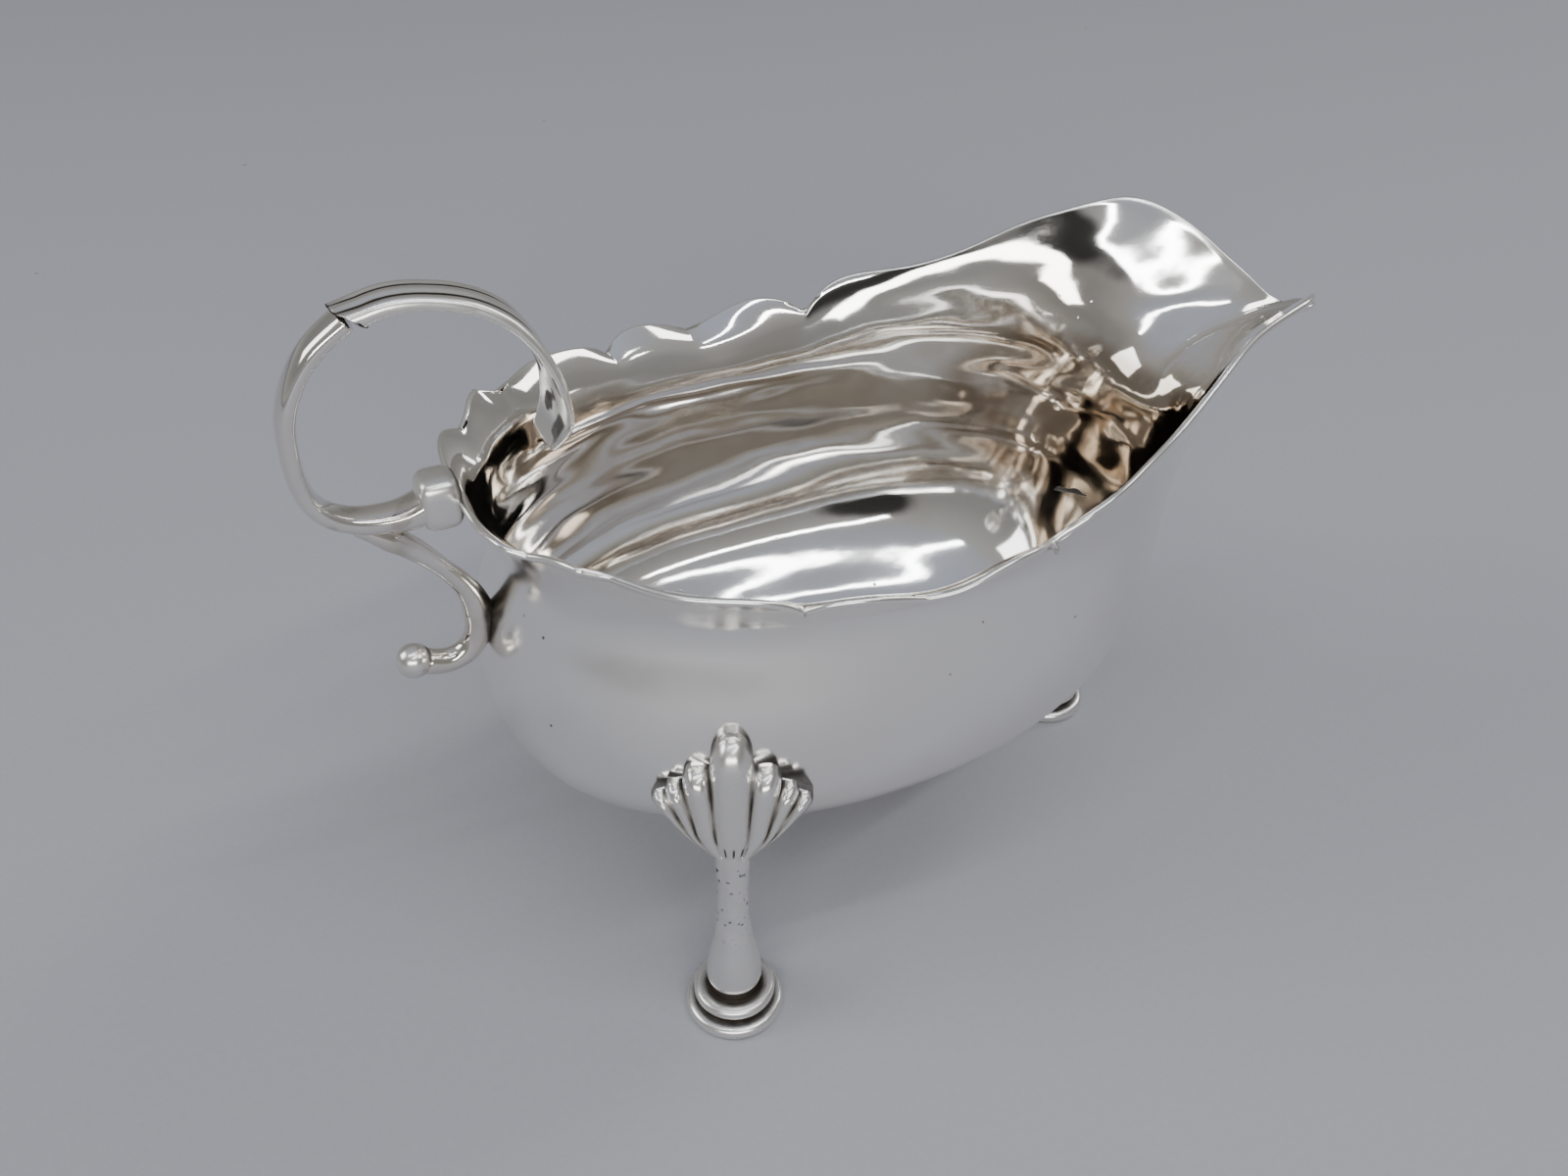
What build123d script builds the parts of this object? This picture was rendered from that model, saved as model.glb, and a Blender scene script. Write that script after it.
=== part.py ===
from build123d import *
import math
import os

# Silver sauce boat on three legs.  Millimetres, +X toward the spout, +Z up.
# The origin lies on the table, under the middle of the overall length.

# ---- driving sizes -------------------------------------------------------
bowl_length = 150.8          # rear of the rim to the end of the beak
bowl_width = 84.8            # across the flared rim
bowl_height = 70.4           # underside of the bowl to the spout shoulders
bowl_base_z = 20.0           # clearance under the bowl
wall = 1.2                   # sheet thickness of the raised bowl
neck_z = 66.0                # narrowest level, where the rim flare starts

loop_width = 4.8             # handle band, side to side
loop_thick = 2.9             # handle band, inside to outside
leaf_width = 14.0            # leaf cap at its widest
leaf_thick = 2.6
leaf_step = 0.8              # how proud the notched start of the leaf stands
scroll_radius = 1.7          # lower scroll, round section
bud_radius = 2.7             # round end of the lower scroll

leg_spread = 76.0            # between the two side foot centres
side_leg_x = -42.0
front_leg_x = 40.7
knuckle_z = 34.2             # joint between shaft and shell
side_turn = 26.0             # side legs face this far round toward the handle, degrees
side_offset = -2.0           # shaft top, outward from the foot centre
front_offset = 2.6
side_lean = -5.5             # tilt of the shells that follows the wall, degrees
front_lean = 13.5
shaft_neck_radius = 2.45
shaft_bulb_radius = 4.3
pad_radius = 7.5
pad_disc_radius = 6.2
pad_height = 5.8

# ---- proportions of the bowl --------------------------------------------
ref_length, ref_width, ref_height = 150.8, 84.8, 70.4
kx = bowl_length / ref_length
ky = bowl_width / ref_width
kz = bowl_height / ref_height
rear_x = -65.0 * kx
bowl_mid_x = -4.0 * kx       # pole that the sections are swept around
body_points = 24             # points on each smooth ring below the neck
rim_blur = 4.5               # degrees over which the notches fade below the edge


def level(z):
    """Height of a reference level on this bowl."""
    return bowl_base_z + (z - 20.0) * kz


# one side of the rim from rear to beak: lobes meeting in small notches
RIM = [
    (-65.6, 0, 77.6), (-65.8, 5, 77.9), (-65.5, 9.5, 78.2), (-64.7, 13.2, 78.2),
    (-63.2, 16, 77.7), (-61, 17.2, 76.9), (-59.4, 19.6, 77.8), (-58, 22.6, 78.4),
    (-56.6, 24.8, 78.4), (-53, 25.8, 77.2), (-49.5, 29.6, 76.4), (-45.5, 33.2, 76.2),
    (-38.6, 36.2, 75.6), (-34.5, 37.2, 74.4), (-31.4, 37.2, 72), (-29.2, 39.2, 74),
    (-26.1, 40.6, 74.7), (-20.5, 41.4, 73.8), (-16, 41, 72), (-10.9, 42.1, 72.6),
    (-6, 42.4, 74.2), (-1.1, 41.8, 75), (3, 40.2, 74), (5.7, 37.7, 72),
    (8, 38.8, 74.6), (12, 39.2, 77), (17, 38, 78.2), (23.5, 35.2, 79.3),
    (29, 33, 80.8), (34.8, 30.8, 83.2), (41.5, 28.2, 86.6), (48, 25.6, 89),
    (54.5, 24, 90.2), (60.5, 22, 90.4), (65, 18.6, 88.8), (69.5, 14.4, 85.6),
    (73, 10.4, 82), (76.2, 6.2, 78.6), (78.8, 3.2, 76), (80.2, 1.9, 75.3),
    (82.2, 1.5, 75.2), (84.4, 1.2, 75.2), (85.8, 0, 75),
]

# body stations: level, rear end, front end, half width, fullness of the oval
STATIONS = [
    (20.0, -34, 20, 14.5, 2.0),
    (21.3, -43, 26.5, 21.0, 2.0),
    (25.0, -52, 32.5, 27.0, 2.05),
    (30.0, -60, 38.0, 34.0, 2.1),
    (38.0, -64.3, 43.0, 38.6, 2.2),
    (48.0, -64.8, 46.5, 39.5, 2.25),
    (58.0, -63.0, 48.5, 37.5, 2.2),
    (66.0, -61.0, 51.0, 36.0, 2.15),
]


def rim_points():
    half = [(x * kx, -y * ky, level(z)) for x, y, z in RIM]
    return half + [(x, -y, z) for x, y, z in half[-2:0:-1]]


rim_angles = [math.atan2(y, x - bowl_mid_x) for x, y, z in rim_points()]
body_angles = [math.pi * (2 * i / body_points - 1) for i in range(body_points)]


def oval_radius(x_rear, x_front, half, full, angle):
    """Distance from the pole to a superellipse outline, by bisection."""
    mid, length = (x_rear + x_front) / 2, (x_front - x_rear) / 2
    low, high = 0.0, 3 * length
    for _ in range(50):
        r = (low + high) / 2
        u = abs((bowl_mid_x + r * math.cos(angle) - mid) / length)
        v = abs(r * math.sin(angle) / half)
        if u ** full + v ** full < 1:
            low = r
        else:
            high = r
    return low


def station_row(angles, z, x_rear, x_front, half, full):
    row = []
    for a in angles:
        r = oval_radius(x_rear * kx, x_front * kx, half * ky, full, a)
        row.append(Vector(bowl_mid_x + r * math.cos(a), r * math.sin(a), level(z)))
    return row


def softened(points, angles, spread):
    """Rim with its notches and beak blurred along the turn; the sheet follows it below the edge."""
    count = len(points)
    result = []
    for a in angles:
        total, mean = 0.0, Vector(0, 0, 0)
        for i, p in enumerate(points):
            step = (angles[(i + 1) % count] - angles[i - 1]) % (2 * math.pi) / 2
            off = (angles[i] - a + math.pi) % (2 * math.pi) - math.pi
            weight = step * math.exp(-0.5 * (off / spread) ** 2)
            total, mean = total + weight, mean + Vector(*p) * weight
        result.append(mean * (1 / total))
    return result


def flare_row(t):
    """Row of the everted rim: leaves the neck upright and bends outward."""
    row = []
    soft_rim = softened(rim_points(), rim_angles, math.radians(rim_blur))
    for base, edge, soft in zip(station_row(rim_angles, *STATIONS[-1]), rim_points(), soft_rim):
        top = Vector(*edge) * t ** 4 + soft * (1 - t ** 4)
        bend = Vector(base.X * 0.82 + top.X * 0.18, base.Y * 0.82 + top.Y * 0.18, base.Z * 0.35 + top.Z * 0.65)
        row.append(base * (1 - t) ** 2 + bend * (2 * t * (1 - t)) + top * t ** 2)
    return row


body_rows = [station_row(body_angles, *s) for s in STATIONS]
flare_rows = [flare_row(t) for t in (0.0, 0.35, 0.7, 0.9, 1.0)]


def inward(rows, thickness):
    """Copy of the rows moved to the inner face of the sheet."""
    moved = []
    count = len(rows[0])
    for j, row in enumerate(rows):
        below, above = rows[max(j - 1, 0)], rows[min(j + 1, len(rows) - 1)]
        new = []
        for i, p in enumerate(row):
            around = row[(i + 1) % count] - row[i - 1]
            up = above[i] - below[i]
            out = around.cross(up).normalized()
            new.append(p - out * thickness)
        moved.append(new)
    return moved


inner_body_rows = inward(body_rows, wall)
inner_flare_rows = inward(flare_rows, wall)
floor_z = bowl_base_z + wall
inner_body_rows[0] = [Vector(p.X, p.Y, floor_z) for p in inner_body_rows[0]]
inner_body_rows[-1] = [Vector(p.X, p.Y, level(neck_z)) for p in inner_body_rows[-1]]


def ring(row):
    return Wire(Edge.make_spline(row, periodic=True))


def skin(wires):
    return Shell.make_loft(wires)


def lip(first, second):
    return Shell.make_loft([first, second], ruled=True)


outer_body_rings = [ring(r) for r in body_rows]
inner_body_rings = [ring(r) for r in inner_body_rows]
outer_flare_rings = [outer_body_rings[-1]] + [ring(r) for r in flare_rows[1:]]
inner_flare_rings = [inner_body_rings[-1]] + [ring(r) for r in inner_flare_rows[1:]]
outer_body = skin(outer_body_rings)
faces = list(outer_body.faces()) + skin(outer_flare_rings).faces()
faces += skin(inner_body_rings).faces() + skin(inner_flare_rings).faces()
faces += lip(outer_flare_rings[-1], inner_flare_rings[-1]).faces()
faces += [Face(outer_body_rings[0]), Face(inner_body_rings[0])]
bowl = Solid(Shell(faces))

# filled body below the neck, used to seat the cast pieces against the wall
hull_faces = list(outer_body.faces()) + [Face(outer_body_rings[0]), Face(outer_body_rings[-1])]
hull = Solid(Shell(hull_faces))


def largest(shape):
    return max(shape.solids(), key=lambda s: s.volume)


# ---- handle --------------------------------------------------------------
# middle line of the loop, measured from the rear of the rim at table level
LOOP = [
    (-3.2, 77.9), (-6.2, 76.9), (-10.4, 76.8), (-14.8, 78.0), (-17.9, 80.6), (-19.3, 84.6),
    (-19.5, 89.4), (-19.0, 94.0), (-17.2, 98.5), (-14.2, 102.4), (-9.8, 105.6),
]
LEAF = [
    (-9.8, 105.6), (-5.0, 106.9), (0.5, 106.5), (5.0, 105.1), (8.6, 102.9), (11.6, 99.6),
    (13.7, 95.4), (14.8, 90.5), (14.4, 86.4), (12.6, 83.6),
]
SCROLL = [
    (-13.6, 76.0), (-10.4, 73.8), (-7.2, 70.9), (-3.6, 66.4), (-0.9, 62.0), (0.2, 57.4), (-0.4, 53.6),
    (-2.6, 50.9), (-5.6, 50.2), (-8.2, 51.0),
]


def on_handle(points):
    return [Vector(rear_x + x, 0, level(78.0) + z - 78.0) for x, z in points]


def d_section(position, tangent, width, thick, crown):
    """Flat inside, rounded outside, in the plane across the path."""
    side = Vector(0, 1, 0)
    out = tangent.cross(side).normalized() * -1
    w, t = width / 2, thick / 2
    a = position + side * w - out * t
    b = position - side * w - out * t
    c = position - side * w + out * (t - crown)
    d = position + side * w + out * (t - crown)
    top = position + out * t
    arc = Edge.make_three_point_arc(d, top, c)
    return Wire([Edge.make_line(a, b), Edge.make_line(b, c), arc, Edge.make_line(d, a)])


def banded(points, widths, thicks, crown_share=0.55):
    path = Edge.make_spline(on_handle(points))
    count = len(widths)
    wires = []
    for i in range(count):
        t = i / (count - 1)
        wires.append(d_section(path @ t, path % t, widths[i], thicks[i], thicks[i] * crown_share))
    return Solid.make_loft(wires)


loop = banded(
    LOOP,
    [loop_width * k for k in (1.25, 1.1, 1.0, 1.0, 1.0, 1.0, 1.05, 1.1, 1.15)],
    [loop_thick * k for k in (1.9, 1.35, 1.1, 1.0, 0.95, 0.95, 0.95, 1.0, 1.0)],
)
leaf = banded(
    LEAF,
    [leaf_width * k for k in (0.47, 0.48, 0.5, 0.54, 0.64, 0.8, 0.95, 1.0, 0.6)],
    [leaf_thick * k + leaf_step * s for k, s in (
        (1.05, 1), (1.05, 0.3), (1.0, 0), (0.95, 0), (0.9, 0), (0.8, 0), (0.75, 0), (0.65, 0), (0.5, 0))],
)
loop = largest(loop - leaf)

scroll_path = Edge.make_spline(on_handle(SCROLL))
scroll_wires = []
for i, k in enumerate((0.7, 1.0, 0.85, 0.75, 0.95, 1.3, 1.15, 0.95, 0.85)):
    t = i / 7
    plane = Plane(origin=scroll_path @ t, z_dir=scroll_path % t)
    scroll_wires.append(Wire(Edge.make_circle(scroll_radius * k, plane)))
scroll = Solid.make_loft(scroll_wires)
scroll = largest(scroll - hull - loop)

bud_at = scroll_path @ 1 + (scroll_path % 1) * (bud_radius * 0.7)
bud = Pos(bud_at.X, bud_at.Y, bud_at.Z) * Solid.make_sphere(bud_radius, angle1=-90, angle2=90)
bud = largest(bud - scroll)

knuckle_size = (6.0, 6.8, 8.0)
knuckle_at = (rear_x - 2.6, 0, level(77.8))
knuckle = Pos(*knuckle_at) * Box(*knuckle_size)
knuckle = fillet(knuckle.edges(), 1.8)
knuckle = largest(knuckle - loop - scroll - bowl)

# ---- legs ----------------------------------------------------------------
RIBS = [  # turn from upright, length, end radius, root distance from the middle
    (0, 19.2, 3.1, 0), (7.6, 13.9, 2.1, 3.15), (20, 11.2, 1.6, 4.4), (34.5, 10.3, 1.3, 4.9),
]
web_front, web_back = 0.4, 4.6   # plate behind the ribs, filled back to the wall
shell_base = 5.2                 # half width of the shell at its root


def rib(turn, length, radius, base_x):
    root_radius = radius * 0.7
    body = Solid.make_cone(root_radius, radius, length - radius)
    end = Pos(0, 0, length - radius) * Solid.make_sphere(radius, angle1=-90, angle2=90)
    return Pos(base_x, -radius * 0.15, 0) * Rot(0, turn, 0) * (body + end)


def scallop(lean):
    """Fan of ribs in the XZ plane, facing -Y, rooted at the shaft joint."""
    fan = rib(*RIBS[0])
    edge = [(0.0, RIBS[0][1] - RIBS[0][2] * 0.7)]
    for turn, length, radius, base_x in RIBS[1:]:
        fan = fan + rib(turn, length, radius, base_x) + rib(-turn, length, radius, -base_x)
        reach = length - radius * 0.7
        x = base_x + reach * math.sin(math.radians(turn))
        z = reach * math.cos(math.radians(turn))
        edge = [(-x, z)] + edge + [(x, z)]
    outline = make_face(Polyline((-shell_base, 0), *edge, (shell_base, 0), (-shell_base, 0)))
    web = extrude(Plane.XZ * outline, amount=web_front) + extrude(Plane.XZ * outline, amount=-web_back)
    fan = Pos(0, 0.4, 0.3) * Rot(lean, 0, 0) * (fan + web)
    below = Pos(0, 0, -10) * Box(80, 80, 20)
    return largest(fan - below)


def shaft(offset):
    """Tapered shaft from the foot up to the shell, its top set outward by the offset."""
    top = knuckle_z - pad_height
    profile = [
        (0.0, 3.6), (0.03, 4.1), (0.08, shaft_bulb_radius), (0.13, 4.2), (0.22, 3.75), (0.31, 3.15),
        (0.41, 2.75), (0.52, 2.52), (0.64, shaft_neck_radius), (0.82, 2.65), (1.0, shaft_neck_radius * 1.18),
    ]
    wires = []
    for share, radius in profile:
        plane = Plane(origin=(0, -offset * share ** 1.5, pad_height + top * share))
        wires.append(Wire(Edge.make_circle(radius, plane)))
    return Solid.make_loft(wires)


def foot():
    groove, edge = 0.7, 0.6
    low, mid, high = 2.2, 3.2, 5.0
    inner = pad_disc_radius - groove
    outline = Polyline(
        (0, 0), (pad_radius - edge, 0), (pad_radius, edge), (pad_radius, low - edge), (pad_radius - edge, low),
        (inner, low), (inner, mid), (pad_disc_radius - edge, mid), (pad_disc_radius, mid + edge),
        (pad_disc_radius, high - edge), (pad_disc_radius - edge, high), (4.3, high), (3.7, pad_height),
        (0, pad_height), (0, 0),
    )
    section = Plane.XZ * make_face(outline)
    return largest(revolve(section, Axis.Z))


pad = foot()
side_reach = leg_spread / 2
legs = {"right": ((side_leg_x * kx, -side_reach), -side_turn, side_offset, side_lean),
        "left": ((side_leg_x * kx, side_reach), 180 + side_turn, side_offset, side_lean),
        "front": ((front_leg_x * kx, 0), 90, front_offset, front_lean)}

nodes = {"bowl": bowl, "handle_loop": loop, "handle_leaf_cap": leaf, "handle_lower_scroll": scroll,
         "handle_terminal_bud": bud, "handle_rim_knuckle": knuckle}
for name, ((x, y), turn, offset, lean) in legs.items():
    place = Pos(x, y, 0) * Rot(0, 0, turn)
    shell_raw = place * (Pos(0, -offset, knuckle_z) * scallop(lean))
    nodes["shell_knuckle_" + name] = largest(shell_raw - hull)
    nodes["leg_shaft_" + name] = place * shaft(offset)
    nodes["foot_pad_" + name] = place * pad

os.makedirs("parts", exist_ok=True)
for name, solid in nodes.items():
    solid.label = name
    export_step(solid, f"parts/{name}.step")
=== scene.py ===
import bmesh
import bpy
import math
import numpy as np
from mathutils import Matrix


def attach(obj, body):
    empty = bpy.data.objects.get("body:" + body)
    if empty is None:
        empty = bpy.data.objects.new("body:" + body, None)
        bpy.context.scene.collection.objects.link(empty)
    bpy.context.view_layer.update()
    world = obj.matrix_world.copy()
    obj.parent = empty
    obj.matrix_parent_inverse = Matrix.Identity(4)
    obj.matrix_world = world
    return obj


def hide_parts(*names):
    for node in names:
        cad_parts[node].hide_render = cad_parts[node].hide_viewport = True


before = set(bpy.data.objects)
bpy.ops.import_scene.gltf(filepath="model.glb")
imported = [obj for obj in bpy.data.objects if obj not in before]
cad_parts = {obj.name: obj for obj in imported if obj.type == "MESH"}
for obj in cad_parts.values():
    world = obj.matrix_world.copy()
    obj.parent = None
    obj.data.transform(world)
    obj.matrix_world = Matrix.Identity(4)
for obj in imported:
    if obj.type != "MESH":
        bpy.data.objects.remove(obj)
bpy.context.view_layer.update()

MM = 0.001

# ---------------------------------------------------------------- helpers


def natural_spline(knots, samples):
    """Rows that blend values at the knots into values at the samples (natural cubic spline)."""
    k = np.asarray(knots, float)
    n = len(k)
    h = np.diff(k)
    a = np.zeros((n, n))
    b = np.zeros((n, n))
    a[0, 0] = a[-1, -1] = 1
    for i in range(1, n - 1):
        a[i, i - 1], a[i, i], a[i, i + 1] = h[i - 1], 2 * (h[i - 1] + h[i]), h[i]
        b[i, i - 1], b[i, i + 1] = 3 / h[i - 1], 3 / h[i]
        b[i, i] = -b[i, i - 1] - b[i, i + 1]
    m2 = np.linalg.solve(a, b) * 2
    out = np.zeros((len(samples), n))
    for r, s in enumerate(samples):
        i = min(max(np.searchsorted(k, s) - 1, 0), n - 2)
        t, w = s - k[i], h[i]
        u = 1 - t / w
        out[r, i] += u
        out[r, i + 1] += t / w
        out[r] += m2[i] * (w * w / 6) * (u ** 3 - u)
        out[r] += m2[i + 1] * (w * w / 6) * ((t / w) ** 3 - t / w)
    return out


def path_through(points, count):
    """Evenly stepped smooth path through control points."""
    p = np.asarray(points, float)
    chord = np.r_[0, np.cumsum(np.linalg.norm(np.diff(p, axis=0), axis=1))]
    fine = natural_spline(chord, np.linspace(0, chord[-1], 20 * len(p))) @ p
    run = np.r_[0, np.cumsum(np.linalg.norm(np.diff(fine, axis=0), axis=1))]
    at = np.linspace(0, run[-1], count)
    return np.stack([np.interp(at, run, fine[:, i]) for i in range(p.shape[1])], 1)


def waves(p, length, seed, stretch=(1, 1, 1)):
    """Smooth random swell with about unit height."""
    r = np.random.default_rng(seed)
    q = p / np.asarray(stretch, float)
    total = np.zeros(p.shape[:-1])
    for _ in range(9):
        d = r.normal(size=3)
        d *= r.uniform(0.7, 1.35) / np.linalg.norm(d)
        total += np.sin(q @ d * (2 * math.pi / length) + r.uniform(0, 6.3))
    return total / 3


def smooth(x, low, high):
    t = np.clip((x - low) / (high - low), 0, 1)
    return t * t * (3 - 2 * t)


def ring_faces(rows, cols):
    faces = []
    for i in range(rows - 1):
        for j in range(cols):
            k = (j + 1) % cols
            a, b = i * cols, (i + 1) * cols
            faces.append((a + j, a + k, b + k, b + j))
    return faces


class Build:
    """Collects parts of one piece, with 0 to 1 grime and film values on each point; the grime value also
    paints shade and the film value also paints reflection.
    """

    def __init__(self):
        self.v, self.f, self.g, self.w = [], [], [], []

    def add(self, verts, faces, grime_and_shade=0.0, film_and_reflection=0.0):
        base = sum(len(x) for x in self.v)
        verts = np.asarray(verts, float).reshape(-1, 3)
        self.v.append(verts)
        self.f += [tuple(base + i for i in f) for f in faces]
        self.g.append(np.broadcast_to(np.asarray(grime_and_shade, float).reshape(-1), (len(verts),)))
        self.w.append(np.broadcast_to(np.asarray(film_and_reflection, float).reshape(-1), (len(verts),)))

    def tube(self, grid, grime_and_shade=0.0, film_and_reflection=0.0):
        """Closed rings, one after another, with fan caps on both ends."""
        grid = np.asarray(grid, float)
        rows, cols = grid.shape[:2]
        verts = grid.reshape(-1, 3)
        g, w = (np.broadcast_to(np.asarray(x, float), (rows, cols)).reshape(-1) for x in (grime_and_shade, film_and_reflection))
        faces = ring_faces(rows, cols)
        n, last = len(verts), (rows - 1) * cols
        verts = np.r_[verts, [grid[0].mean(0)], [grid[-1].mean(0)]]
        g, w = np.r_[g, g[0], g[-1]], np.r_[w, w[0], w[-1]]
        for j in range(cols):
            k = (j + 1) % cols
            faces.append((n, k, j))
            faces.append((n + 1, last + j, last + k))
        self.add(verts, faces, g, w)

    def make(self, name, node, material):
        mesh = bpy.data.meshes.new(name)
        mesh.from_pydata((np.concatenate(self.v) * MM).tolist(), [], self.f)
        mesh.update()
        mesh.polygons.foreach_set("use_smooth", [True] * len(mesh.polygons))
        for label, values in (("grime_and_shade", self.g), ("film_and_reflection", self.w)):
            layer = mesh.attributes.new(label, "FLOAT", "POINT")
            layer.data.foreach_set("value", np.concatenate(values).astype(np.float32))
        obj = bpy.data.objects.new(name, mesh)
        bpy.context.scene.collection.objects.link(obj)
        mesh.materials.append(material)
        fix_normals(mesh)
        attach(obj, "root")
        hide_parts(node)


def fix_normals(mesh):
    bm = bmesh.new()
    bm.from_mesh(mesh)
    bmesh.ops.recalc_face_normals(bm, faces=bm.faces)
    bm.to_mesh(mesh)
    bm.free()


# --------------------------------------------------------------- material
# warm tarnish colour; on the bowl's inner wall it is also painted reflection of the dim room
WARM_FILM_AND_REFLECTION = (0.66, 0.56, 0.46)
# brown of the spout's throat: partly tarnish, partly painted reflection of the dim room
THROAT_BROWN_AND_REFLECTION = (0.42, 0.345, 0.27)
# dark oxide colour, also used for painted shade where pieces meet and under the leaf
OXIDE_AND_SHADE = (0.045, 0.036, 0.030)
SPECK = (0.09, 0.07, 0.055)


def silver(name, tint, rough, film_and_reflection, hammer, scratches):
    """Polished silver: warm film in patches, which inside the bowl is partly painted reflection; dark oxide,
    and painted shade, where the grime value is high.
    """
    m = bpy.data.materials.new(name)
    m.use_nodes = True
    nt = m.node_tree
    n, link = nt.nodes, nt.links.new
    n.clear()
    out = n.new("ShaderNodeOutputMaterial")
    bsdf = n.new("ShaderNodeBsdfPrincipled")
    link(bsdf.outputs[0], out.inputs[0])
    bsdf.inputs["Metallic"].default_value = 1.0
    place = n.new("ShaderNodeTexCoord").outputs["Object"]

    def noise(scale, detail, rough_=0.5, stretch=None):
        src = place
        if stretch:
            mp = n.new("ShaderNodeMapping")
            mp.inputs["Scale"].default_value = stretch
            link(src, mp.inputs["Vector"])
            src = mp.outputs[0]
        t = n.new("ShaderNodeTexNoise")
        t.inputs["Scale"].default_value = scale
        t.inputs["Detail"].default_value = detail
        t.inputs["Roughness"].default_value = rough_
        link(src, t.inputs["Vector"])
        return t.outputs["Fac"]

    def ramp(fac, low, high, to_low=0.0, to_high=1.0):
        r = n.new("ShaderNodeMapRange")
        r.interpolation_type = "SMOOTHSTEP"
        r.inputs["From Min"].default_value = low
        r.inputs["From Max"].default_value = high
        r.inputs["To Min"].default_value = to_low
        r.inputs["To Max"].default_value = to_high
        link(fac, r.inputs["Value"])
        return r.outputs[0]

    def calc(op, a, b):
        c = n.new("ShaderNodeMath")
        c.operation = op
        for i, x in enumerate((a, b)):
            if isinstance(x, (int, float)):
                c.inputs[i].default_value = x
            else:
                link(x, c.inputs[i])
        return c.outputs[0]

    def mix(fac, a, b):
        x = n.new("ShaderNodeMix")
        x.data_type = "RGBA"
        link(fac, x.inputs[0])
        for i, c in ((6, a), (7, b)):
            if isinstance(c, tuple):
                x.inputs[i].default_value = c + (1,)
            else:
                link(c, x.inputs[i])
        return x.outputs[2]

    def attribute(label):
        a = n.new("ShaderNodeAttribute")
        a.attribute_name = label
        return a.outputs["Fac"]

    grime_and_shade_value, film_and_reflection_value = attribute("grime_and_shade"), attribute("film_and_reflection")
    patches = ramp(noise(45, 4, 0.6), 0.36, 0.66)
    strength = calc("ADD", calc("MULTIPLY", film_and_reflection_value, film_and_reflection), film_and_reflection * 0.14)
    warm_tarnish_and_reflection = calc("MULTIPLY", calc("ADD", calc("MULTIPLY", patches, 0.7), 0.3), strength)
    # the grime value paints dark oxide and, on the leaf, knuckle, scroll and bud, painted shade
    oxide_and_shade_mask = ramp(calc("ADD", grime_and_shade_value, calc("MULTIPLY", noise(420, 4, 0.6), 0.35)), 0.42, 1.05)
    specks = n.new("ShaderNodeTexVoronoi")
    specks.inputs["Scale"].default_value = 230
    link(place, specks.inputs["Vector"])
    speck = calc("MULTIPLY", ramp(specks.outputs["Distance"], 0.035, 0.075, 1, 0),
                 ramp(noise(70, 1), 0.56, 0.66))
    # brown where the film value is highest, in the spout's throat: partly tarnish, partly painted reflection
    # of the dim room
    throat_brown_and_reflection = calc("MULTIPLY", ramp(film_and_reflection_value, 0.74, 1.0), ramp(noise(75, 4, 0.6), 0.3, 0.55, 0.3, 0.8))
    colour = mix(warm_tarnish_and_reflection, tint, WARM_FILM_AND_REFLECTION)
    colour = mix(throat_brown_and_reflection, colour, THROAT_BROWN_AND_REFLECTION)
    colour = mix(oxide_and_shade_mask, colour, OXIDE_AND_SHADE)
    colour = mix(speck, colour, SPECK)
    link(colour, bsdf.inputs["Base Color"])
    base_rough = calc("MULTIPLY", ramp(noise(60, 5, 0.6), 0.3, 0.8, rough, rough * 1.5),
                      ramp(film_and_reflection_value, 0.0, 0.08, 1.0, 0.32))
    rough_now = calc("ADD", base_rough, calc("MULTIPLY", oxide_and_shade_mask, 0.38))
    link(rough_now, bsdf.inputs["Roughness"])

    # height, strength and depth in metres; below zero is a pit
    bumps = [(noise(150, 2, 0.5), hammer, 0.0016), (noise(1500, 3, 0.6, (1, 1, 6)), scratches, 0.00006),
             (speck, -0.25, 0.0002)]
    last = None
    for height, strength, dist in bumps:
        b = n.new("ShaderNodeBump")
        b.invert = strength < 0
        b.inputs["Strength"].default_value = abs(strength)
        b.inputs["Distance"].default_value = dist
        link(height, b.inputs["Height"])
        if last:
            link(last, b.inputs["Normal"])
        last = b.outputs[0]
    link(last, bsdf.inputs["Normal"])
    return m


sheet = silver("silver_sheet", (0.94, 0.93, 0.905), 0.17, 0.85, 0.02, 0.03)
cast = silver("silver_cast", (0.87, 0.86, 0.835), 0.21, 0.6, 0.004, 0.025)
worn = silver("silver_worn", (0.85, 0.84, 0.81), 0.24, 0.75, 0.006, 0.05)

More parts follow.
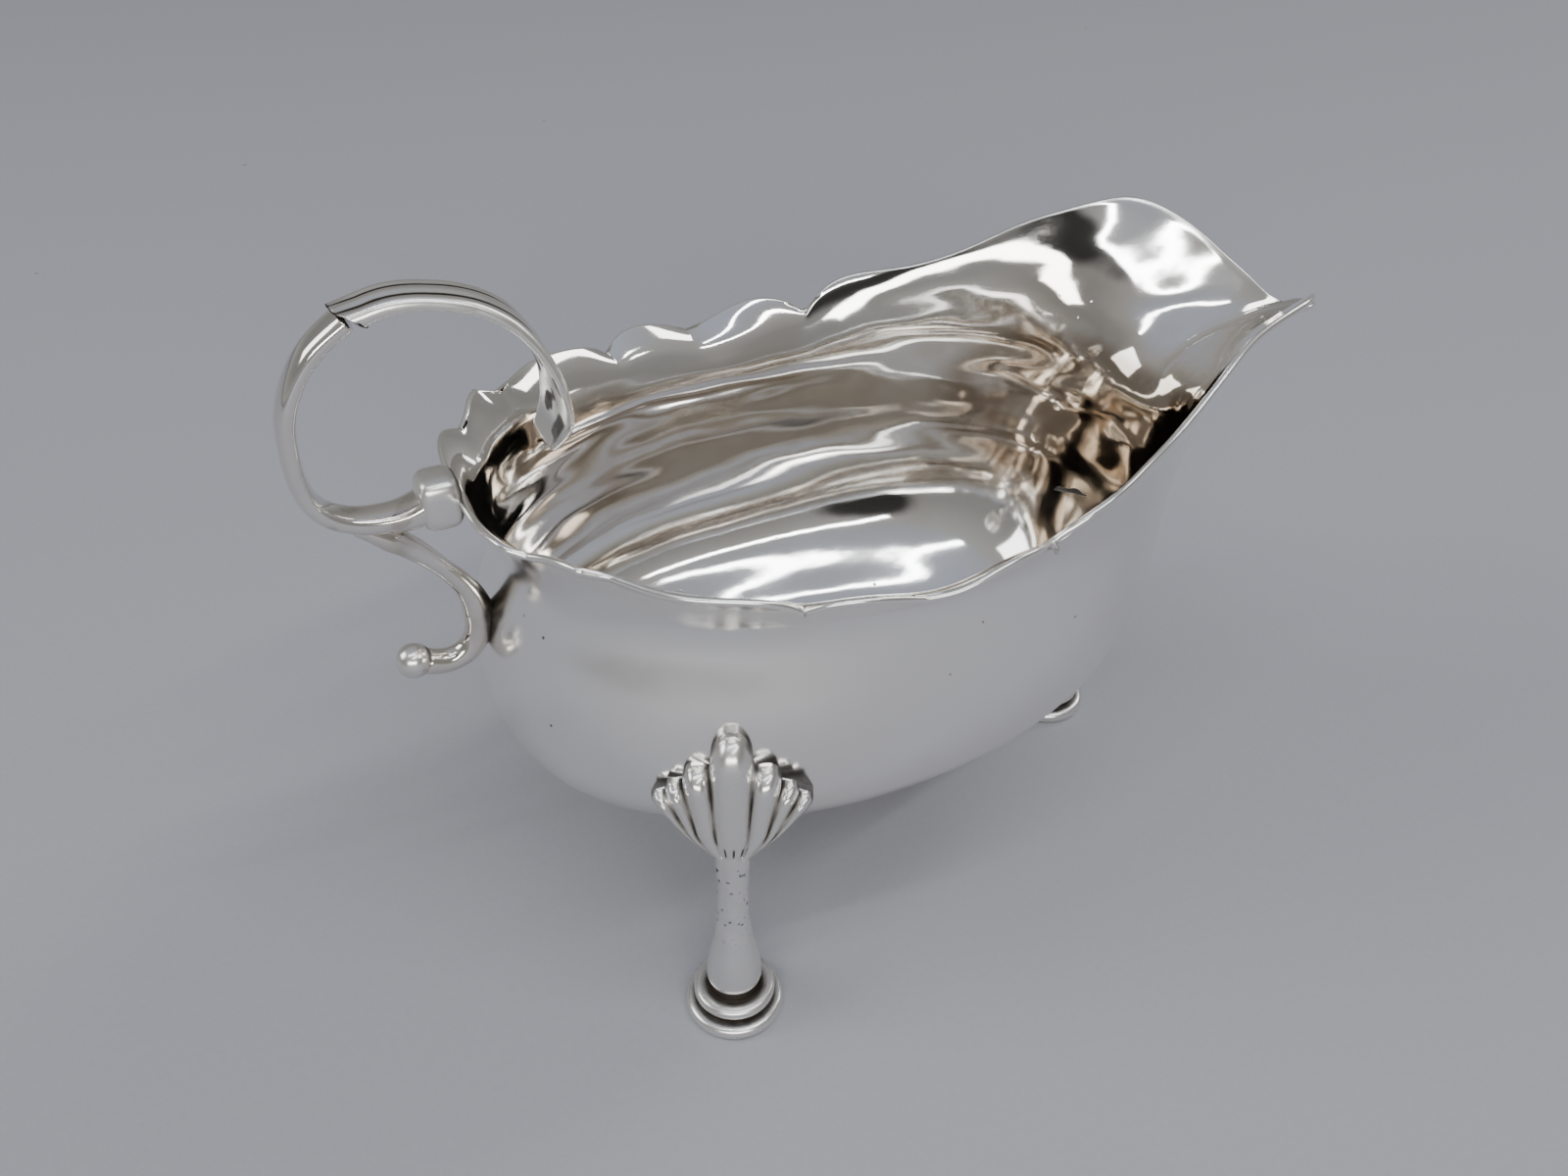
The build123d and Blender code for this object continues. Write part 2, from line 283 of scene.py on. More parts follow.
# ------------------------------------------------------------------- bowl
# half of the rim line, from the rear round to the tip of the spout
RIM = [
    (-65.6, 0, 77.6), (-65.8, 5, 77.9), (-65.5, 9.5, 78.2), (-64.7, 13.2, 78.2),
    (-63.2, 16, 77.7), (-61, 17.2, 76.9), (-59.4, 19.6, 77.8), (-58, 22.6, 78.4),
    (-56.6, 24.8, 78.4), (-53, 25.8, 77.2), (-49.5, 29.6, 76.4), (-45.5, 33.2, 76.2),
    (-38.6, 36.2, 75.6), (-34.5, 37.2, 74.4), (-31.4, 37.2, 72), (-29.2, 39.2, 74),
    (-26.1, 40.6, 74.7), (-20.5, 41.4, 73.8), (-16, 41, 72), (-10.9, 42.1, 72.6),
    (-6, 42.4, 74.2), (-1.1, 41.8, 75), (3, 40.2, 74), (5.7, 37.7, 72),
    (8, 38.8, 74.6), (12, 39.2, 77), (17, 38, 78.2), (23.5, 35.2, 79.3),
    (29, 33, 80.8), (34.8, 30.8, 83.2), (41.5, 28.2, 86.6), (48, 25.6, 89),
    (54.5, 24, 90.2), (60.5, 22, 90.4), (65, 18.6, 88.8), (69.5, 14.4, 85.6),
    (73, 10.4, 82), (76.2, 6.2, 78.6), (78.8, 3.2, 76), (80.2, 1.9, 75.3),
    (82.2, 1.5, 75.2), (84.4, 1.2, 75.2), (85.8, 0, 75),
]
CUSPS = (0, 5, 8, 9, 14, 18, 23, 39, 42)     # knots where the rim line breaks direction
# height, rear x, front x, half width and fullness of each section
STATIONS = [
    (20.0, -34, 20, 14.5, 2.0), (21.3, -43, 26.5, 21.0, 2.0), (25.0, -52, 32.5, 27.0, 2.05),
    (30.0, -60, 38.0, 34.0, 2.1), (38.0, -64.3, 43.0, 38.6, 2.2), (48.0, -64.8, 46.5, 39.5, 2.25),
    (58.0, -63.0, 48.5, 37.5, 2.2), (66.0, -61.0, 51.0, 36.0, 2.15),
]
POLE_X = -4.0        # the sections turn about this line
WALL = 1.2
BASE_Z = 20.0
RIM_BLUR = 4.5


def rim_line(step):
    """Dense half of the rim, smooth between its cusps."""
    pieces = []
    for a, b in zip(CUSPS[:-1], CUSPS[1:]):
        part = np.array(RIM[a:b + 1], float)
        length = np.linalg.norm(np.diff(part, axis=0), axis=1).sum()
        pieces.append(path_through(part, max(int(length / step), 6))[:-1])
    return np.concatenate(pieces + [np.array([RIM[-1]], float)])


def oval_radius(x_rear, x_front, half, full, angle):
    """Distance from the pole to a full oval section, by halving."""
    mid, length = (x_rear + x_front) / 2, (x_front - x_rear) / 2
    low, high = np.zeros_like(angle), np.full_like(angle, 3 * length)
    for _ in range(40):
        r = (low + high) / 2
        u = np.abs((POLE_X + r * np.cos(angle) - mid) / length)
        v = np.abs(r * np.sin(angle) / half)
        inside = u ** full + v ** full < 1
        low, high = np.where(inside, r, low), np.where(inside, high, r)
    return low


def softened(points, angle, spread):
    """Rim with its notches and beak blurred along the turn; the sheet follows it below the edge."""
    off = (angle[None, :] - angle[:, None] + math.pi) % (2 * math.pi) - math.pi
    step = ((np.roll(angle, -1) - np.roll(angle, 1)) % (2 * math.pi)) / 2
    weight = step[None, :] * np.exp(-0.5 * (off / spread) ** 2)
    return weight @ points / weight.sum(1, keepdims=True)


def bowl_surface(step=0.55, rows=96):
    """Outer surface as rings from the middle of the base up to the rim."""
    half = rim_line(step)
    rim = np.concatenate([half * [1, -1, 1], half[-2:0:-1]])
    angle = np.arctan2(rim[:, 1], rim[:, 0] - POLE_X)
    control = []
    for share in (0.0, 0.5):
        _, xr, xf, b, full = STATIONS[0]
        r = oval_radius(xr, xf, b, full, angle) * share
        control.append(np.stack([POLE_X + r * np.cos(angle), r * np.sin(angle), np.full_like(r, BASE_Z)], 1))
    for z, xr, xf, b, full in STATIONS:
        r = oval_radius(xr, xf, b, full, angle)
        control.append(np.stack([POLE_X + r * np.cos(angle), r * np.sin(angle), np.full_like(r, z)], 1))
    base, soft = control[-1], softened(rim, angle, math.radians(RIM_BLUR))
    for t in (0.3, 0.55, 0.75, 0.9, 1.0):
        top = rim * t ** 4 + soft * (1 - t ** 4)
        bend = base * [0.82, 0.82, 0.35] + top * [0.18, 0.18, 0.65]
        control.append(base * (1 - t) ** 2 + bend * (2 * t * (1 - t)) + top * t ** 2)
    control = np.array(control)
    gaps = np.linalg.norm(np.diff(control, axis=0), axis=2).mean(1)
    knots = np.r_[0, np.cumsum(gaps)]
    share = np.linspace(0, 1, rows) ** 0.9
    blend = natural_spline(knots, share * knots[-1])
    return np.einsum("rk,kcx->rcx", blend, control), angle


def grid_normals(p):
    around = np.roll(p, -1, 1) - np.roll(p, 1, 1)
    up = np.gradient(p, axis=0)
    n = np.cross(around, up)
    n[0] = (0, 0, -1)
    return n / np.maximum(np.linalg.norm(n, axis=2, keepdims=True), 1e-9)


surface, around = bowl_surface()
normal = grid_normals(surface)
mid = surface - normal * (WALL / 2)
height = np.linspace(0, 1, len(surface))[:, None]
swell = 0.06 * waves(mid, 40, 1) + 0.016 * waves(mid, 15, 2) + 0.003 * waves(mid, 6, 3)
swell *= smooth(height, 0.02, 0.2) * (1 - 0.85 * smooth(height, 0.93, 1.0))
inner_swell = 0.17 * waves(mid, 8, 4, (4, 4, 1)) + 0.035 * waves(mid, 4, 5, (3, 3, 1))
inner_swell *= smooth(mid[..., 2], 34, 58) * (1 - 0.9 * smooth(height, 0.9, 1.0))
half_wall = WALL / 2 - 0.04
outer = mid + normal * (half_wall + swell - 0.12)[..., None]
inner = mid - normal * (half_wall - swell + inner_swell)[..., None]
lip_up = surface[-1] - surface[-3]
lip_up /= np.linalg.norm(lip_up, axis=1, keepdims=True)
end_out, end_in = outer[-1] - lip_up * 0.5, inner[-1] - lip_up * 0.5
centre, reach = (end_out + end_in) / 2, np.linalg.norm(end_out - end_in, axis=1, keepdims=True) / 2
across = (end_out - end_in) / (2 * reach)
lip = [centre + reach * (math.cos(b) * across + math.sin(b) * lip_up) for b in np.linspace(0.0, math.pi, 9)]
outer[-1], inner[-1] = end_out, end_in
grid = np.concatenate([outer[1:-1], np.array(lip), inner[-2:0:-1]])
rise = mid[..., 2]
# warm tarnish on the inner wall and a brown throat toward the spout: partly real tarnish, partly painted
# reflection of the dim room
neck_tarnish_and_reflection = smooth(rise, 36, 50) * (1 - smooth(height, 0.74, 0.9))
throat_tarnish_and_reflection = smooth(mid[..., 0], 18, 46) * smooth(rise, 34, 48) * (1 - smooth(height, 0.8, 0.95))
film_and_reflection = np.clip(0.10 + 0.5 * neck_tarnish_and_reflection + 0.75 * throat_tarnish_and_reflection, 0, 1)
none = np.zeros(film_and_reflection.shape)
film_and_reflection = np.concatenate([none[1:-1], np.zeros((len(lip), len(around))), film_and_reflection[-2:0:-1]])
bowl = Build()
bowl.tube(grid, 0.0, film_and_reflection)
bowl.make("bowl_sheet", "bowl", sheet)

# ----------------------------------------------------------------- handle
# each path runs in the centre plane: x from the rear of the rim, and z
REAR_X = -65.0
LOOP = [
    (-3.2, 77.9), (-6.2, 76.9), (-10.4, 76.8), (-14.8, 78.0), (-17.9, 80.6), (-19.3, 84.6),
    (-19.5, 89.4), (-19.0, 94.0), (-17.2, 98.5), (-14.2, 102.4), (-9.8, 105.6),
]
LEAF = [
    (-9.8, 105.6), (-5.0, 106.9), (0.5, 106.5), (5.0, 105.1), (8.6, 102.9), (11.6, 99.6),
    (13.7, 95.4), (14.8, 90.5), (14.4, 86.4), (12.6, 83.6),
]
SCROLL = [
    (-13.6, 76.0), (-10.4, 73.8), (-7.2, 70.9), (-3.6, 66.4), (-0.9, 62.0), (0.2, 57.4), (-0.4, 53.6),
    (-2.6, 50.9), (-5.6, 50.2), (-8.2, 51.0),
]


def spread(values, count):
    return np.interp(np.linspace(0, 1, count), np.linspace(0, 1, len(values)), values)


def band(points, count, widths, thicks, square, ribs=None, around_count=48):
    """Grid of rings along a path in the centre plane: flat inside, crowned outside."""
    line = path_through(points, count) + [REAR_X, 0]
    tangent = np.gradient(line, axis=0)
    tangent /= np.linalg.norm(tangent, axis=1, keepdims=True)
    out = np.stack([-tangent[:, 1], tangent[:, 0]], 1)
    w, t = spread(widths, count), spread(thicks, count)
    a = np.linspace(0, 2 * math.pi, around_count, endpoint=False)
    side = np.sign(np.cos(a)) * np.abs(np.cos(a)) ** (2 / square)
    lift = np.sign(np.sin(a)) * np.abs(np.sin(a)) ** (2 / square)
    lift = np.where(lift < 0, lift * 0.8, lift)
    grid = np.zeros((count, around_count, 3))
    grime_and_shade = np.zeros((count, around_count))
    for i in range(count):
        s = side * w[i] / 2
        groove = np.zeros_like(s)
        if ribs is not None:
            phase = 0.5 - 0.5 * np.cos(side * math.pi * 2.5)
            groove = np.where(lift > 0.1, ribs[i] * phase, 0)
            grime_and_shade[i] = np.where(lift > 0.1, smooth(phase, 0.7, 1.0) * min(1, ribs[i] / 0.35), 0)
        o = lift * t[i] / 2 - groove
        grid[i, :, 0] = line[i, 0] + out[i, 0] * o
        grid[i, :, 1] = s
        grid[i, :, 2] = line[i, 1] + out[i, 1] * o
    return grid, grime_and_shade, line, out


LOOP_WIDTH, LOOP_THICK, LEAF_WIDTH, LEAF_THICK, SCROLL_RADIUS = 4.8, 2.9, 14.0, 2.5, 1.7
grid = band(
    LOOP, 120,
    LOOP_WIDTH * np.array([1.25, 1.1, 1.0, 1.0, 1.0, 1.0, 1.05, 1.1, 1.15]),
    LOOP_THICK * np.array([1.9, 1.35, 1.1, 1.0, 0.95, 0.95, 0.95, 1.0, 1.0]), 2.5)[0]
stain = smooth(waves(grid, 6, 41), 0.1, 0.9) * (1 - smooth(grid[..., 2], 78, 84))
loop = Build()
loop.tube(grid, 0.42 * stain, 0.25 + 0.5 * stain)
loop.make("handle_loop_band", "handle_loop", worn)

count, sides = 150, 72
depth = np.interp(np.linspace(0, 1, count), [0, 0.05, 0.3, 0.8, 1], [0.25, 0.42, 0.36, 0.3, 0.1])
grid, grime_and_shade, leaf_line, leaf_out = band(
    LEAF, count,
    LEAF_WIDTH * np.array([0.46, 0.47, 0.49, 0.53, 0.63, 0.79, 0.94, 0.99, 0.6]),
    LEAF_THICK * np.array([1.3, 1.15, 1.0, 0.95, 0.9, 0.8, 0.75, 0.65, 0.5]),
    2.8, ribs=depth, around_count=sides)
turn = np.linspace(0, 2 * math.pi, sides, endpoint=False)[None, :]
# the leaf starts with a raised tooth, cut a little aslant
tooth = np.clip(1 - np.arange(count) / 9, 0, 1)[:, None] ** 1.5
push, slant = np.sin(turn) * tooth, -np.cos(turn) * tooth
forward = np.gradient(leaf_line, axis=0)
forward /= np.linalg.norm(forward, axis=1, keepdims=True)
shift = 1.4 * push - 0.4 * tooth - 0.7 * slant
grid[..., 0] -= shift * forward[:, :1] - 0.35 * push * leaf_out[:, :1]
grid[..., 2] -= shift * forward[:, 1:] - 0.35 * push * leaf_out[:, 1:]
# painted shade in patches on the inner face of the leaf toward its end
inside = smooth(-np.sin(turn), 0.2, 0.8) * smooth(np.arange(count), 70, 105)[:, None]
grime_and_shade = np.maximum(grime_and_shade, 0.75 * inside * smooth(waves(grid, 5, 21), -0.1, 0.5))
# painted shadow under the raised tooth: its lower side and its end face are darkened
grime_and_shade[:4] = np.maximum(grime_and_shade[:4], 0.95 * smooth(-np.sin(turn), -0.5, 0.1))
grime_and_shade[0] = 1.0
leaf = Build()
leaf.tube(grid, grime_and_shade)
leaf.make("handle_leaf", "handle_leaf_cap", worn)


def round_tube(points, count, radii, sides=40):
    """Round rings along a path in the centre plane."""
    line = path_through(points, count) + [REAR_X, 0]
    tangent = np.gradient(line, axis=0)
    tangent /= np.linalg.norm(tangent, axis=1, keepdims=True)
    r = spread(radii, count)
    a = np.linspace(0, 2 * math.pi, sides, endpoint=False)
    grid = np.zeros((count, sides, 3))
    for i in range(count):
        o = np.sin(a) * r[i]
        grid[i, :, 0] = line[i, 0] - tangent[i, 1] * o
        grid[i, :, 1] = np.cos(a) * r[i]
        grid[i, :, 2] = line[i, 1] + tangent[i, 0] * o
    return grid, line, tangent


radii = SCROLL_RADIUS * np.array([0.65, 1.1, 0.95, 0.78, 0.95, 1.3, 1.15, 1.05, 1.15])
grid, scroll_line, scroll_tan = round_tube(SCROLL, 110, radii)
scroll = Build()
# painted shade where the scroll touches the body
contact_shade = smooth(grid[..., 0], -65.6, -63.9) * smooth(grid[..., 2], 49, 53)
stain = smooth(waves(grid, 9, 31), -0.6, 1.0)
scroll.tube(grid, np.maximum(0.8 * contact_shade, 0.35 * stain), 0.35 + 0.35 * stain)
scroll.make("handle_scroll", "handle_lower_scroll", worn)


def ball(centre, radius, sides=40, rings=24):
    u = np.linspace(0.05, math.pi - 0.05, rings)[:, None]
    v = np.linspace(0, 2 * math.pi, sides, endpoint=False)[None, :]
    unit = np.stack([np.sin(u) * np.cos(v), np.sin(u) * np.sin(v), np.cos(u) * np.ones_like(v)], 2)
    return np.asarray(centre) + unit * radius


end = scroll_line[-1] + scroll_tan[-1] * 1.9
grid = ball((end[0], 0, end[1]), 2.6)
bud = Build()
# painted shade on the side of the bud that faces the body
bud.tube(grid, 0.7 * smooth(grid[..., 0], -73.8, -72.8))
bud.make("handle_bud", "handle_terminal_bud", worn)

# a block with round edges
grid = ball((0, 0, 0), 1)
grid = np.sign(grid) * np.abs(grid) ** 0.55
grid = grid / np.abs(grid).max((0, 1)) * [2.95, 3.35, 3.95] + [-67.6, 0, 77.8]
knuckle = Build()
# painted shade on the side of the knuckle against the rim, in the crevice
knuckle.tube(grid, 0.75 * smooth(grid[..., 0], -66.2, -65.0))
knuckle.make("handle_knuckle", "handle_rim_knuckle", worn)

# ------------------------------------------------------------------- legs
JOINT_Z, PAD_TOP = 34.2, 5.8


def turn_about_z(p, degrees):
    a = math.radians(degrees)
    m = np.array([[math.cos(a), -math.sin(a), 0], [math.sin(a), math.cos(a), 0], [0, 0, 1]])
    return p @ m.T


def tilt(p, degrees):
    """Turn about X: positive tips the top toward -Y."""
    a = math.radians(degrees)
    m = np.array([[1, 0, 0], [0, math.cos(a), -math.sin(a)], [0, math.sin(a), math.cos(a)]])
    return p @ m.T


# fan of seven lobes: edges at the root and at the rim, heights of the notches and of the lobe tops
ROOT_EDGE = np.array([-5.2, -4.8, -4.2, -2.1, 2.1, 4.2, 4.8, 5.2])
TOP_EDGE = np.array([-11.2, -9.3, -6.9, -3.1, 3.1, 6.9, 9.3, 11.2])
NOTCH = np.array([7.4, 8.8, 10.4, 13.4, 13.4, 10.4, 8.8, 7.4])
CREST = np.array([8.9, 10.9, 13.8, 19.0, 13.8, 10.9, 8.9])


def scallop(lean):
    """Lobed shell in the XZ plane, facing -Y, rounded under where it meets the shaft."""
    lane = np.linspace(0, 7, 183)
    which = np.minimum(lane.astype(int), 6)
    t = 2 * (lane - which) - 1
    root = np.interp(lane, np.arange(8), ROOT_EDGE)
    top = np.interp(lane, np.arange(8), TOP_EDGE)
    arch = np.sqrt(np.clip(1 - np.abs(t) ** 2.3, 0, 1))
    notch = np.interp(lane, np.arange(8), NOTCH)
    tall = notch + (CREST[which] - notch) * arch
    crown = np.sqrt(np.clip(1 - np.abs(t) ** 2.4, 0, 1))
    whole = np.sqrt(1 - 0.72 * (top / 11.4) ** 2)
    rings, grimes = [], []
    for share in np.linspace(0.0, 1, 72) ** 1.25:
        under = math.sqrt(1 - (1 - min(share / 0.24, 1)) ** 2)
        x = (root + (top - root) * share ** 0.85) * (0.45 + 0.55 * under)
        base = (root / 5.2) ** 2
        z = base + (tall - base) * share - 3.0 * (1 - under)
        full = 3.9 + 0.2 * math.sin(math.pi * share)
        over = math.sqrt(max(1 - max((share - 0.74) / 0.26, 0) ** 2.4, 0))
        ribbed = 0.12 + 0.52 * share ** 0.5
        lift = full * whole * (0.62 + 0.38 * under) * over * (1 - ribbed + ribbed * crown)
        front = np.stack([x, -lift, z], 1)
        back = np.stack([x, np.full_like(x, 3.8 * (0.35 + 0.65 * under)), z], 1)[::-1]
        rings.append(np.concatenate([front, back]))
        g = smooth(np.abs(t), 0.84, 1.0) * smooth(share, 0.04, 0.14)
        g = g * (0.8 + 0.2 * np.cos(9 * share + 2 * which))
        nicks = smooth(np.sin(t * 9.4), 0.2, 0.9) * smooth(share, 0.015, 0.04)
        nicks = nicks * (1 - smooth(share, 0.07, 0.12))
        g = np.maximum(g, 0.8 * nicks * (which == 3))
        g = np.maximum(g, 0.75 * smooth(np.full_like(t, share), 0.93, 1.0) * smooth(np.abs(t), 0.3, 0.8))
        grimes.append(np.r_[g, np.full_like(g, 0.5)])
    return tilt(np.array(rings), lean) + [0, 0.4, 0.3], np.array(grimes)


def seat(points, depth=0.7):
    """Points deeper than the middle of the bowl wall come back to it."""
    flat = points.reshape(-1, 3).copy()
    close = (np.abs(surface - flat.mean(0)) < 24).all(2)
    near, out = surface[close][::2], normal[close][::2]
    best = np.array([np.argmin(((near - p) ** 2).sum(1)) for p in flat])
    side = ((flat - near[best]) * out[best]).sum(1)
    deep = side < -depth
    flat[deep] -= out[best][deep] * (side[deep] + depth)[:, None]
    return flat.reshape(points.shape)


def shaft_rings(offset, sides=56):
    """Tapered shaft with a bulb at its foot, its top set off by the offset."""
    shares = np.array([0, 0.03, 0.08, 0.13, 0.22, 0.31, 0.41, 0.52, 0.64, 0.82, 1.0])
    radii = np.array([3.5, 4.0, 4.15, 4.05, 3.65, 3.1, 2.65, 2.36, 2.3, 2.45, 2.65])
    s = np.linspace(0, 1, 70)
    r = natural_spline(shares, s) @ radii
    a = np.linspace(0, 2 * math.pi, sides, endpoint=False)
    grid = np.zeros((len(s), sides, 3))
    grid[..., 0] = r[:, None] * np.cos(a)
    grid[..., 1] = r[:, None] * np.sin(a) - (offset * s ** 1.5)[:, None]
    grid[..., 2] = (PAD_TOP + (JOINT_Z - 0.8 - PAD_TOP) * s)[:, None]
    return grid


def lathe(outline, sides=72):
    """Rings of an outline, given as radius and height, turned about Z."""
    o = np.asarray(outline, float)
    a = np.linspace(0, 2 * math.pi, sides, endpoint=False)
    grid = np.zeros((len(o), sides, 3))
    grid[..., 0] = o[:, :1] * np.cos(a)
    grid[..., 1] = o[:, :1] * np.sin(a)
    grid[..., 2] = o[:, 1:]
    return grid


PAD = [
    (0.01, 0.0), (6.6, 0.0), (7.15, 0.15), (7.42, 0.5), (7.5, 1.0), (7.42, 1.6), (7.1, 2.0),
    (6.6, 2.18), (6.1, 2.15), (5.65, 2.1), (5.5, 2.3), (5.5, 3.1), (5.65, 3.25), (6.0, 3.35),
    (6.18, 3.7), (6.2, 4.2), (6.05, 4.65), (5.7, 4.92), (5.1, 4.98), (4.6, 4.9), (4.25, 4.75),
    (4.0, 4.8), (3.8, 5.2), (3.7, 5.78), (0.01, 5.79),
]
PAD_DARK = np.zeros((len(PAD), 1))           # oxide in the two grooves
PAD_DARK[7:14, 0] = (0.5, 0.7, 0.85, 0.9, 0.9, 0.9, 0.8)
PAD_DARK[18:24, 0] = (0.4, 0.6, 0.8, 0.9, 0.9, 0.9)

# place, turn about Z, offset of the shaft's top and lean of the shell
LEGS = {"right": ((-42.0, -38.0), -26.0, -2.0, -5.5), "left": ((-42.0, 38.0), 206.0, -2.0, -5.5),
        "front": ((40.7, 0.0), 90.0, 2.6, 13.5)}
for name, ((x, y), turn, offset, lean) in LEGS.items():
    def place(p):
        return turn_about_z(p, turn) + [x, y, 0]

    grid, grime_and_shade = scallop(lean)
    fan = Build()
    fan.tube(seat(place(grid + [0, -offset, JOINT_Z])), grime_and_shade)
    fan.make("shell_" + name, "shell_knuckle_" + name, cast)
    post = Build()
    grid = shaft_rings(offset)
    rough_top = smooth(grid[..., 2], 12, 20)
    axis = grid.mean(1, keepdims=True)
    uneven = 0.035 * waves(grid, 5, 12) * rough_top * smooth(-grid[..., 2], -34, -31)
    grid = axis + (grid - axis) * (1 + uneven)[..., None]
    pits = smooth(waves(grid, 2.6, 11) * waves(grid, 1.3, 13), 0.42, 0.9)
    post.tube(place(grid), 0.8 * pits * rough_top)
    post.make("shaft_" + name, "leg_shaft_" + name, cast)
    pad = Build()
    pad.tube(place(lathe(PAD)), PAD_DARK)
    pad.make("pad_" + name, "foot_pad_" + name, cast)

# ------------------------------------------------------------------ stage


def paper(name, colour, rough):
    """Matt paper with a fine grain and a few dark flecks."""
    m = bpy.data.materials.new(name)
    m.use_nodes = True
    n, link = m.node_tree.nodes, m.node_tree.links.new
    b = n["Principled BSDF"]
    b.inputs["Roughness"].default_value = rough
    t = n.new("ShaderNodeTexNoise")
    t.inputs["Scale"].default_value = 900
    t.inputs["Detail"].default_value = 4
    r = n.new("ShaderNodeMapRange")
    r.inputs["To Min"].default_value = 0.95
    r.inputs["To Max"].default_value = 1.05
    mul = n.new("ShaderNodeMix")
    mul.data_type = "RGBA"
    mul.blend_type = "MULTIPLY"
    mul.inputs[0].default_value = 1.0
    mul.inputs[6].default_value = colour + (1,)
    place = n.new("ShaderNodeTexCoord").outputs["Object"]
    link(place, t.inputs["Vector"])
    link(t.outputs["Fac"], r.inputs["Value"])
    link(r.outputs[0], mul.inputs[7])
    dust = n.new("ShaderNodeTexVoronoi")
    dust.inputs["Scale"].default_value = 26
    dust.inputs["Randomness"].default_value = 1.0
    link(place, dust.inputs["Vector"])
    near = n.new("ShaderNodeMapRange")
    near.interpolation_type = "SMOOTHSTEP"
    for label, value in (("From Min", 0.012), ("From Max", 0.022), ("To Min", 0.5), ("To Max", 0.0)):
        near.inputs[label].default_value = value
    link(dust.outputs["Distance"], near.inputs["Value"])
    fleck = n.new("ShaderNodeMix")
    fleck.data_type = "RGBA"
    fleck.inputs[7].default_value = (0.10, 0.095, 0.09, 1)
    link(near.outputs[0], fleck.inputs[0])
    link(mul.outputs[2], fleck.inputs[6])
    link(fleck.outputs[2], b.inputs["Base Color"])
    return m


floor_mesh = bpy.data.meshes.new("floor")
floor_mesh.from_pydata([(-3, -3, 0), (3, -3, 0), (3, 3, 0), (-3, 3, 0)], [], [(0, 1, 2, 3)])
floor = bpy.data.objects.new("floor", floor_mesh)
bpy.context.scene.collection.objects.link(floor)
floor_mesh.materials.append(paper("paper", (0.375, 0.375, 0.41), 0.9))


def softbox(name, at, aim, size_x, size_y, power, colour=(1, 1, 1)):
    """Rectangular light at a point, turned to face another."""
    data = bpy.data.lights.new(name, "AREA")
    data.shape = "RECTANGLE"
    data.size, data.size_y = size_x, size_y
    data.energy = power
    data.color = colour
    obj = bpy.data.objects.new(name, data)
    bpy.context.scene.collection.objects.link(obj)
    back = np.asarray(at, float) - np.asarray(aim, float)
    back /= np.linalg.norm(back)
    side = np.cross((0, 0, 1), back)
    side /= np.linalg.norm(side)
    up = np.cross(back, side)
    m = Matrix(((side[0], up[0], back[0], at[0]), (side[1], up[1], back[1], at[1]),
                (side[2], up[2], back[2], at[2]), (0, 0, 0, 1)))
    obj.matrix_world = m


softbox("window_left", (-1.3, 0.5, 1.0), (0, 0, 0.05), 0.8, 0.7, 7.5, (0.95, 0.98, 1.0))
softbox("window_right", (1.2, 0.2, 1.0), (0, 0, 0.05), 0.35, 0.9, 5)
softbox("strip_a", (0.16, -0.56, 0.88), (0, 0, 0.04), 0.9, 0.04, 1.9, (0.94, 0.97, 1.0))
softbox("strip_b", (-0.02, -0.25, 0.98), (0, 0, 0.04), 1.1, 0.04, 1.9, (0.94, 0.97, 1.0))
softbox("front_fill", (-0.45, -1.05, 0.5), (0, 0, 0.03), 1.1, 0.22, 7.5, (1.0, 0.995, 0.97))

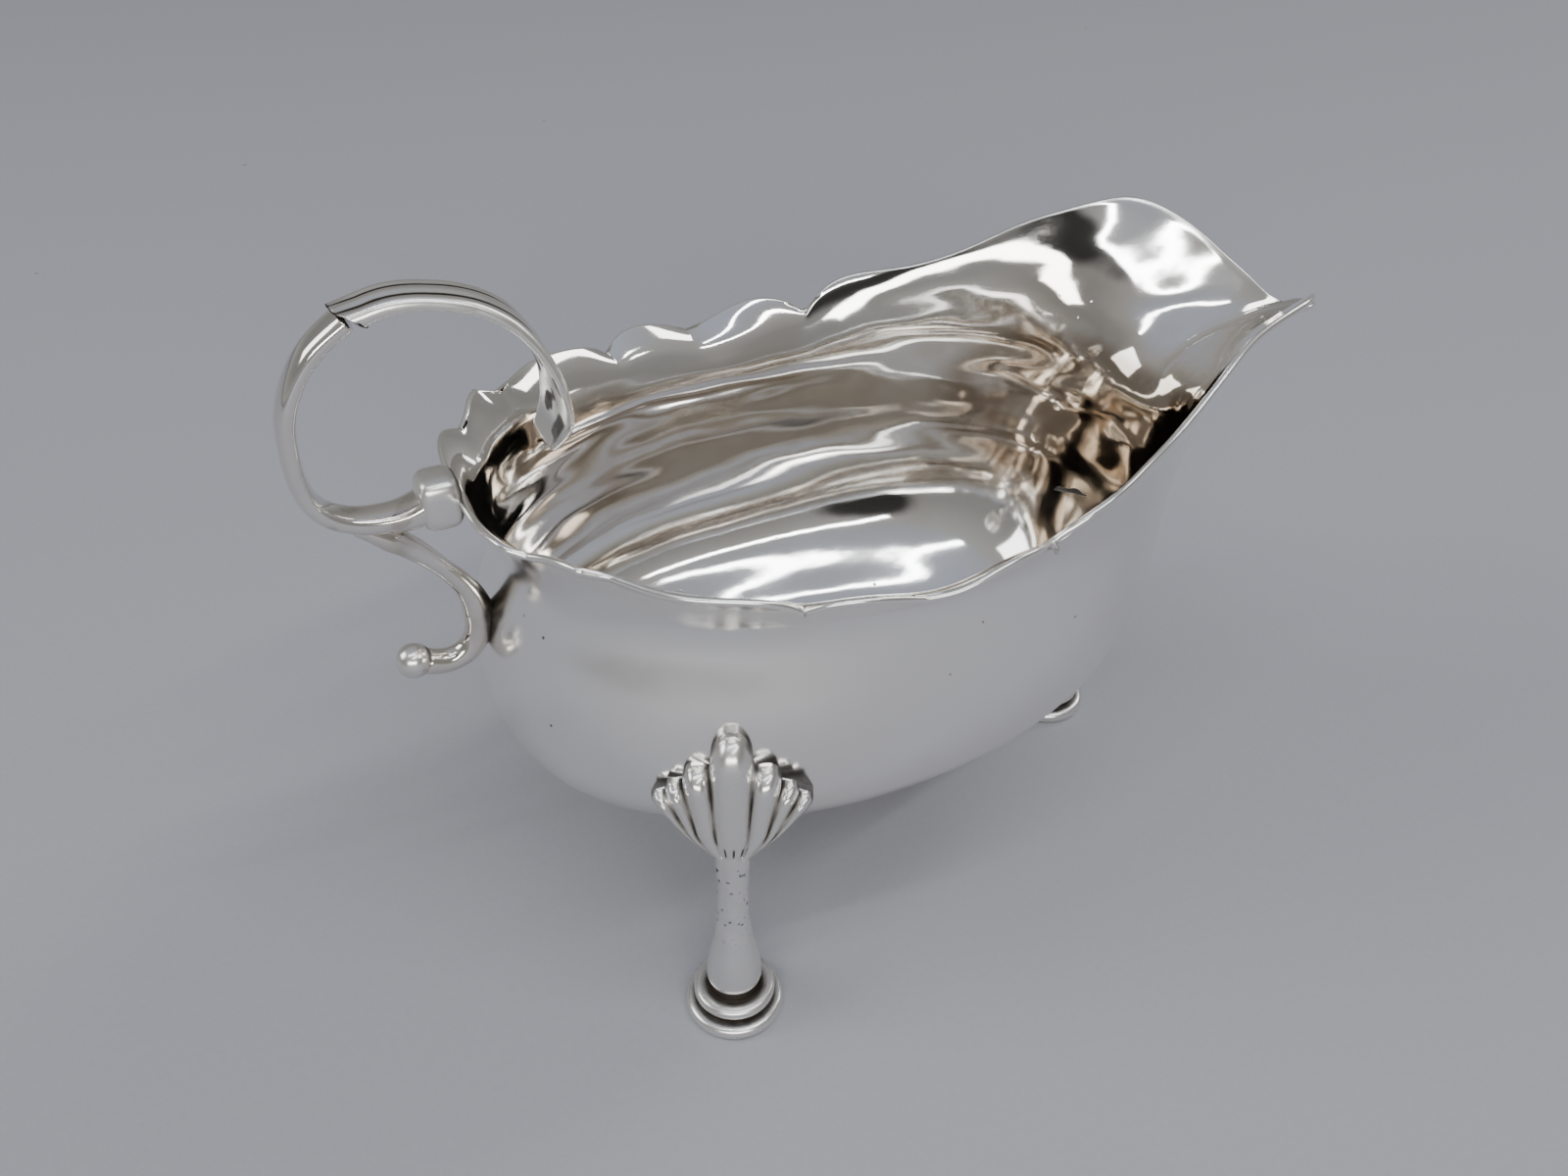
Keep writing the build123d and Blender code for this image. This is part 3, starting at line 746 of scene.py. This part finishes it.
world = bpy.data.worlds.new("soft_room")
bpy.context.scene.world = world
world.use_nodes = True
wn, wl = world.node_tree.nodes, world.node_tree.links.new
background = wn["Background"]
tc = wn.new("ShaderNodeTexCoord")
split = wn.new("ShaderNodeSeparateXYZ")
wl(tc.outputs["Generated"], split.inputs[0])
shade = wn.new("ShaderNodeValToRGB")
shade.color_ramp.elements[0].position = 0.0
shade.color_ramp.elements[0].color = (0.43, 0.425, 0.41, 1)
shade.color_ramp.elements[1].position = 0.95
shade.color_ramp.elements[1].color = (0.47, 0.505, 0.60, 1)
for spot, grey in ((0.10, 0.34), (0.25, 0.27), (0.5, 0.30), (0.75, 0.42)):
    shade.color_ramp.elements.new(spot).color = (grey, grey * 0.99, grey * 0.97, 1)
wl(split.outputs["Z"], shade.inputs[0])
# a dim corner of the room on the near side
toward = wn.new("ShaderNodeVectorMath")
toward.operation = "DOT_PRODUCT"
toward.inputs[1].default_value = (-0.25, -0.80, 0.545)
wl(tc.outputs["Generated"], toward.inputs[0])
dim = wn.new("ShaderNodeMapRange")
dim.interpolation_type = "SMOOTHSTEP"
for label, value in (("From Min", 0.955), ("From Max", 0.985), ("To Min", 1.0), ("To Max", 0.12)):
    dim.inputs[label].default_value = value
wl(toward.outputs["Value"], dim.inputs["Value"])
power = wn.new("ShaderNodeMath")
power.operation = "MULTIPLY"
power.inputs[1].default_value = 0.86
wl(dim.outputs[0], power.inputs[0])
wl(shade.outputs[0], background.inputs[0])
wl(power.outputs[0], background.inputs[1])

# ----------------------------------------------------------------- camera
PITCH, AZIMUTH, ROLL = 37.93, -25.93, 0.83
FOCAL_SHARE = 0.86                            # focal length over the sensor width
SENSOR = 36
p, a, r = (math.radians(v) for v in (PITCH, AZIMUTH, ROLL))
back = np.array([math.sin(a) * math.cos(p), -math.cos(a) * math.cos(p), math.sin(p)])
right = np.array([math.cos(a), math.sin(a), 0.0])
up = np.cross(back, right)
right, up = math.cos(r) * right + math.sin(r) * up, math.cos(r) * up - math.sin(r) * right
cam_data = bpy.data.cameras.new("camera")
cam_data.sensor_width = SENSOR
cam_data.lens = SENSOR * FOCAL_SHARE
cam_data.clip_start = 0.005
camera = bpy.data.objects.new("camera", cam_data)
bpy.context.scene.collection.objects.link(camera)
at = np.array([-91.1, -154.4, 179.6]) * MM
camera.matrix_world = Matrix(((right[0], up[0], back[0], at[0]), (right[1], up[1], back[1], at[1]),
                              (right[2], up[2], back[2], at[2]), (0, 0, 0, 1)))
bpy.context.scene.camera = camera
